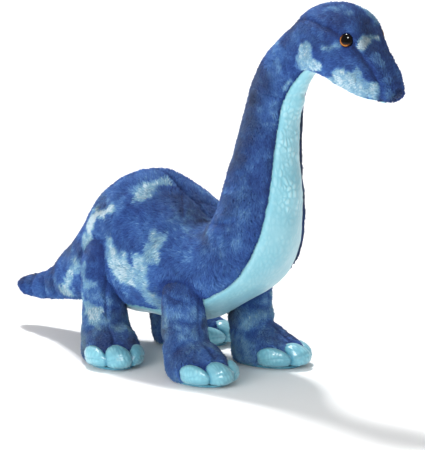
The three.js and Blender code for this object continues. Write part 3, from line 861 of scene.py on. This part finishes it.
belly_velour = velour_panel("belly_velour", 4.6, cuts["neck"])
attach(belly_velour, "torso")
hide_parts("belly_panel")
throat_velour_piece = velour_panel("throat_velour", cuts["neck"], cuts["head"])
hinge_blend(throat_velour_piece, *neck_hinge)
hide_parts("throat_panel")
chin_velour = velour_panel("chin_velour", cuts["head"], 26.38)
hinge_blend(chin_velour, *head_hinge)
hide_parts("chin_panel")

# %% [markdown]
# ## Legs and feet
# A leg is two blue panels sewn at the front and the back, with a scalloped opening for the toes. The
# toes are one aqua panel, sewn through to the foot's filling between them, which makes three puffy
# lobes. The sole is a flat aqua pad that the beads press onto the floor. Three separate balls would
# look stuck on, so the toes are one grid that swells and dips, as the panel of cloth does.

# %% The toes' outline
toe_spread = 82 * degrees  # how far round the foot the toes reach, to either side
lobe_count = 3
toe_turn = -8 * degrees  # the toes are sewn a little to one side of the foot's middle
toe_puff, toe_inset, stitch_depth = 6.0, 2.4, 0.8  # mm
toe_pebble, toe_relief = 3.4, 0.35  # mm across and high
foot_inset = 2.5  # mm that the plush draws in under the toes
sole_edge = 2.0  # mm above the floor, where the sole's outline is taken


def lobe(angle):
    """The cosine across each toe: 1 in the middle of a toe and 0 in the channel beside it."""
    share = np.clip(angle / (2 * toe_spread) * lobe_count, -1.5, 1.5)
    return np.abs(np.cos(np.pi * (share - np.round(share))))


def toe_top(angle):
    """The height of the toes' upper edge: an arc over each toe, lower towards the heel."""
    return (18 + 8 * lobe(angle) ** 0.45) * (1 - 0.25 * (angle / toe_spread) ** 2)


leg_marks = {
    "hind_right": [([62, 42], [-80, -40], 9, 0.88), ([38, 37], [-40, 50], 5, 0.76),
                   ([90, 82], [-85, -60], 8, 0.8), ([38, 30], [-120, -90], 5, 0.78)],
    "front_right": [([47, 46], [-95, -80], 1.5, 0.8), ([31, 29], [-45, -30], 3, 0.62)],
    "front_left": [([38, 44], [-80, -15], 2, 0.8), ([60, 52], [40, 80], 5, 0.85)],
    "hind_left": [([66, 46], [20, 75], 5.5, 0.88), ([34, 32], [-40, 0], 3, 0.75)],
}

print("the middle toe is", toe_top(0.0).round(1), "mm high before it swells")

# %% Legs


def leg_line(leg, heights, angles):
    """A line of points on a leg through a few heights and angles in degrees."""
    along = np.linspace(0, len(heights) - 1, 16)
    steps = np.arange(len(heights))
    return leg_point(leg, np.interp(along, steps, heights), np.interp(along, steps, angles) * degrees)


def leg_plush(word, leg, seed):
    """A leg's skin from the hip's dome down to the sole, less its seams, with pile that lies down it."""
    top = leg["top"][-1, 0] + 5.9
    heights = np.concatenate([np.linspace(top, top - 6, 5)[:-1], np.linspace(top - 6, 2.6, 46)])[:, None]
    angles = np.linspace(-np.pi, np.pi, 81)[None, :]
    bare = leg_point(leg, heights + 0 * angles, angles + 0 * heights)
    out = normals_of(bare)
    hind = word.startswith("hind")
    outwards = leg["side"] * 10 * hind  # degrees; a hind leg's front seam lies a little to the outside
    front = leg_line(leg, [122, 40, 24], [outwards, outwards, outwards])
    seams = [(front, 1.9 if hind else 0.8, 2.4),
             (leg_line(leg, [100, 4], [180, 180]), 1.3, 3),  # down the back
             (leg_line(leg, [34, 43, 43, 34], [-75, -35, 35, 75]), 1.6, 4),  # the ankle's fold
             (leg_line(leg, [40, 36], [110, 150]), 0.8, 3),
             (leg_line(leg, [40, 36], [-110, -150]), 0.8, 3),
             (leg_line(leg, [62, 56], [-60, 20]), 0.4, 3)]
    if not hind:  # the seam that closes the leg's top, an upside-down V
        for turn in (-1, 1):
            seams.append((leg_line(leg, [70, 89, 80], [turn * 150, turn * 115, turn * 35]), 1.8, 2.6))
    dip = np.zeros(bare.shape[:2])
    near = np.zeros(bare.shape[:2])
    for line, deep, wide in seams:
        bell = np.exp(-(distance_to(bare, line) / wide) ** 2)
        dip = np.maximum(dip, deep * bell)
        near = np.maximum(near, bell)
    from_toes = (angles - toe_turn + np.pi) % (2 * np.pi) - np.pi
    in_toe = (bare[..., 2] < toe_top(from_toes)) & (np.abs(from_toes) < toe_spread)
    lumps = (cloudy(bare, 24, seed) - 0.5) * 2.4
    grid = bare + out * (lumps - dip - backing_depth - foot_inset * in_toe)[..., None]
    inside = depth_in_body(grid)
    # Where the leg goes into the body, the pile is short and drawn darker: painted shade between the parts.
    near = np.maximum(near, np.exp(-(np.minimum(inside, 0) / 4) ** 2) * (inside > -14) * (grid[..., 2] > 60))
    keep = (~in_toe) * (inside < 2.0) * 1.0
    along, around = unit(np.gradient(grid, axis=0)), unit(np.gradient(grid, axis=1))
    marks = [(leg_line(leg, at, angle), half, pale) for at, angle, half, pale in leg_marks[word]]
    # Darker low on the front of the foot, and darker towards the top of the leg.
    level = 0.6 - 0.22 * step_up(44 - bare[..., 2], 0, 14) * step_up(np.cos(angles), -0.2, 0.6)
    level = level - 0.16 * step_up(bare[..., 2], 66, 84)
    dye_field = print_and_highlights(grid, marks, ground_dye(grid, level, 31), seed)
    name = f"{word}_leg_plush"
    piece = plush_piece(name, grid, along + 0.15 * around, near, dye_field, keep, 1.5, 4.2, seed)
    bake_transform(piece)
    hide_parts(*(f"{word}_{part}" for part in ("leg_outer_panel", "leg_inner_panel", "leg_stuffing",
                                                       "bead_pouch")))
    return piece


leg_pieces = [leg_plush(word, leg, 600 + 50 * i) for i, (word, leg) in enumerate(legs.items())]

# %% Toes


def toes(word, leg):
    """The foot's surface, swollen by a lobe's cosine and by the sine of the way up, edges tucked in."""
    angle = np.linspace(-toe_spread, toe_spread, 150)[None, :]
    share = np.linspace(0, 1, 40)[:, None]
    low = 2.4
    top = toe_top(angle)
    height = top - (top - low) * share
    bare = leg_point(leg, height, angle + toe_turn + 0 * height)
    out = normals_of(bare)
    puff = lobe(angle) ** 0.4 * np.sin(np.pi * np.clip(share, 0.02, 0.98)) ** 0.36
    tuck = 2.6 * (np.abs(2 * share - 1) ** 8) + 2.4 * (np.abs(angle) / toe_spread) ** 14
    stitch = stitch_depth * np.exp(-((share - 0.52) / 0.04) ** 2) * (lobe(angle) > 0.2)
    around = np.cumsum(np.linalg.norm(np.gradient(bare, axis=1), axis=-1), axis=1)
    height_map = pebbles(height, around + 100, toe_pebble, 23)
    rise = puff * toe_puff - toe_inset - tuck - stitch + height_map * toe_relief
    grid = bare + out * rise[..., None]
    points, quads = sheet_of(grid)
    # Painted shade and highlight: the tone is lighter on each lobe and darker in the stitched channels
    # between the toes, on top of the pebbles.
    tone = np.tile((height_map * 0.25 + 0.32 * step_up(lobe(angle), 0.02, 0.35)).ravel(), 2)
    piece = new_piece(f"{word}_toes", points, quads, np.zeros((0, 3), int), toe_velour,
                      {"pebble": tone})
    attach(piece, f"leg_{word}")
    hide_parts(f"{word}_toe_panel")
    return piece


def sole(word, leg):
    """A ring profile from the middle of the underside, round the edge and back over the top."""
    profile = np.array([[0.01, 0.3], [0.5, 0.1], [0.86, 0.0], [0.92, 0.3], [0.95, 1.2], [0.955, 2.2],
                        [0.93, 3.0], [0.86, 3.2], [0.5, 3.2], [0.01, 3.2]])
    angle = np.linspace(0, -2 * np.pi, 97)[None, :-1]
    edge = leg_point(leg, np.full(angle.shape, sole_edge), angle)[0]
    middle = edge.mean(axis=0)
    grid = middle + (edge - middle)[None] * profile[:, :1, None]
    grid[..., 2] = profile[:, 1:]
    points = grid.reshape(-1, 3)
    quads = grid_quads(len(profile), edge.shape[0], True)
    tone = pebbles(points[:, 0] + 300, points[:, 1] + 300, toe_pebble, 24) * 0.3
    piece = new_piece(f"{word}_sole_pad", points, quads, np.zeros((0, 3), int), toe_velour,
                      {"pebble": tone})
    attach(piece, f"leg_{word}")
    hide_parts(f"{word}_sole")
    return piece


toe_pieces = [toes(word, leg) for word, leg in legs.items()]
for word, leg in legs.items():
    sole(word, leg)

# %% [markdown]
# ## Safety eyes
# A safety eye is one moulding of glossy plastic, painted at the back: a black pupil, an amber iris
# with fine rays and a dark rim. The painted face is seen through the dome, so here the rings are
# colours by distance from the middle, and the polished dome over them gives the sharp highlight.
# The iris is drawn bright only towards its lower left and dark elsewhere: painted light, for the
# glow that the dome focuses there.

# %% Eye plastic
# Acrylic's own index is 1.49. It is set lower, so that the dome keeps its spot and the pupil stays dark.
eye_plastic, surface = new_finish("moulded_acrylic_painted_back", Roughness=0.03, IOR=1.27)
ring = add_node(eye_plastic, "ShaderNodeAttribute", {"attribute_name": "ring"})
rays = add_node(eye_plastic, "ShaderNodeAttribute", {"attribute_name": "rays"})
painted = ramp(eye_plastic, (ring, "Fac"), [(0.0, "#040202"), (0.6, "#0A0503"), (0.68, "#6B3610"),
                                            (0.8, "#B8782E"), (0.88, "#54290E"), (0.94, "#070403")])
# Painted light: this ramp keeps the iris dark away from its lower left and lets its amber show there.
painted_glow = ramp(eye_plastic, (rays, "Fac"), [(0.2, "#140D08"), (0.6, "#8A7868"), (1.0, "#FFFFFF")])
mixed = add_node(eye_plastic, "ShaderNodeMix", {"data_type": "RGBA", "blend_type": "MULTIPLY", "Factor": 1.0},
                 _6=(painted, "Color"), _7=(painted_glow, "Color"))
eye_plastic.node_tree.links.new(mixed.outputs[2], surface.inputs["Base Color"])

# The washer behind the face is plain moulded polyethylene: dull, milky white and faintly uneven.
washer_plastic, surface = new_finish("moulded_polyethylene_washer", Roughness=0.45, IOR=1.51)
place = add_node(washer_plastic, "ShaderNodeTexCoord")
mottle = add_node(washer_plastic, "ShaderNodeTexNoise", {"Scale": 300.0}, Vector=(place, "Object"))
whites = ramp(washer_plastic, (mottle, "Fac"), [(0.3, "#EDEDE8"), (0.7, "#F6F6F2")])
washer_plastic.node_tree.links.new(whites.outputs["Color"], surface.inputs["Base Color"])
print("finishes", eye_plastic.name, washer_plastic.name)

# %% Eyes


dome_height, dome_sunk, rim_depth = 4.6, 2.2, 3.0  # mm


def eye(word):
    """A quarter ellipse turned about the eye's axis, then straight down the rim and in to the middle."""
    middle, out = eyes[word]
    arc = np.linspace(0, np.pi / 2, 20)
    radius = np.concatenate([eye_radius * np.sin(arc), [eye_radius, 0.01]])
    height = np.concatenate([dome_height * np.cos(arc) - dome_sunk, [-rim_depth, -rim_depth]])
    turn = np.linspace(0, 2 * np.pi, 65)[None, :-1]
    right = unit(np.cross([0, 0, 1], out))
    up = np.cross(out, right)
    radius[0] = 0.01
    spoke = right * np.cos(turn)[..., None] + up * np.sin(turn)[..., None]
    grid = middle + spoke * radius[:, None, None] + out * height[:, None, None]
    share = np.tile(np.clip(radius / eye_radius, 0, 1)[:, None], (1, 64))
    # Painted light: bright towards the iris's lower left, where the dome would focus the light. The fine rays
    # on top are the iris's real paint.
    low = step_up(np.cos(turn - 225 * degrees), -0.5, 0.7)
    fibre = 0.15 * np.sin(turn * 23) * np.sin(turn * 9 + 1)
    numbers = {"ring": share.ravel(), "rays": np.clip(low * 0.85 + fibre + 0.1 + 0 * share, 0, 1).ravel()}
    piece = new_piece(f"eye_dome_{word}", grid.reshape(-1, 3), grid_quads(len(radius), 64, True),
                      np.zeros((0, 3), int), eye_plastic, numbers)
    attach(piece, "head")
    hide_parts(f"eye_{word}")
    bpy.data.objects[f"eye_washer_{word}"].material_slots[0].material = washer_plastic
    return piece


for word in eyes:
    eye(word)

# %% [markdown]
# ## Floor, light and camera
# The floor is plain and pale. The strongest lamp hangs high above the toy and a little behind it, so
# its shadow lies under it and just in front. A broad low lamp lights the front but only grazes the
# floor, and the sky fills the rest. The camera is far away with a long lens, so the toy is drawn
# without strong perspective. The white sky alone would light the toy too, but with hardly any
# shadow to stand on.

# %% Floor
# Matt coated paper: white, with no gloss and only a trace of unevenness.
stage_finish, surface = new_finish("matt_white_paper_sweep", Roughness=0.9)
place = add_node(stage_finish, "ShaderNodeTexCoord")
fleck = add_node(stage_finish, "ShaderNodeTexNoise", {"Scale": 3.0}, Vector=(place, "Object"))
paper = ramp(stage_finish, (fleck, "Fac"), [(0.0, "#F3F3F3"), (1.0, "#F7F7F7")])
stage_finish.node_tree.links.new(paper.outputs["Color"], surface.inputs["Base Color"])
bpy.ops.mesh.primitive_plane_add(size=14)
floor = bpy.context.object
floor.name = "floor"
floor.data.materials.append(stage_finish)
print("finish", stage_finish.name)

# %% Sky and the way the camera looks
scene = bpy.context.scene
scene.view_settings.view_transform = "Standard"
scene.world = bpy.data.worlds.new("studio")
scene.world.use_nodes = True
scene.world.node_tree.nodes["Background"].inputs["Color"].default_value = linear("#FFFFFF")
scene.world.node_tree.nodes["Background"].inputs["Strength"].default_value = 0.54

azimuth, elevation = 44 * degrees, 13 * degrees
right = np.array([np.cos(azimuth), np.sin(azimuth), 0])
level_back = np.array([np.sin(azimuth), -np.cos(azimuth), 0])
back = level_back * np.cos(elevation) + np.array([0, 0, np.sin(elevation)])
up = np.cross(back, right)
print("towards the camera", back.round(3))

# %% Lamps


def aim(thing, place, target):
    """Stands a lamp or the camera at a place, looking at the target."""
    thing.location = place
    thing.rotation_euler = (Vector(target) - Vector(place)).to_track_quat("-Z", "Y").to_euler()


def lamp(name, place, size, power):
    """A square soft lamp that looks at the toy's middle."""
    light = bpy.data.lights.new(name, "AREA")
    light.size, light.energy = size, power
    holder = bpy.data.objects.new(name, light)
    scene.collection.objects.link(holder)
    aim(holder, place, (0, 0, 0.18))
    return holder


lamp("key", tuple(-back * 1.5 - right * 0.42 + [0, 0, 4.1]), 0.5, 150)
fill = lamp("fill", tuple(back * 1.5 - right * 0.9 + [0, 0, 0.15]), 1.2, 26)
fill.visible_glossy = False  # its square would show in the eyes

# A small lamp gives each dome its sharp spot. It stands where the view mirrors off the right dome a
# little above and ahead of its middle: twice the view's part along the dome's normal, less the view.
tilted = unit(eyes["right"][1] + 0.3 * right + 0.24 * up)
mirrored = 2 * (tilted @ back) * tilted - back
catch = lamp("catch", tuple(to_frame(eyes["right"][0]) + mirrored * 1.2), 0.3, 20)
catch.visible_diffuse = False  # it shines only in gloss, and leaves the soft light as it is

# %% Camera
camera = bpy.data.objects.new("camera", bpy.data.cameras.new("camera"))
scene.collection.objects.link(camera)
aim_point = origin + right * 0.0165 + up * 0.138
camera_distance = 8  # m
camera.data.lens, camera.data.sensor_width = 640, 36  # mm
camera.data.clip_end = 60
aim(camera, tuple(aim_point + back * camera_distance), tuple(aim_point))
scene.camera = camera
print("the camera stands at", [round(value, 2) for value in camera.location], "m")
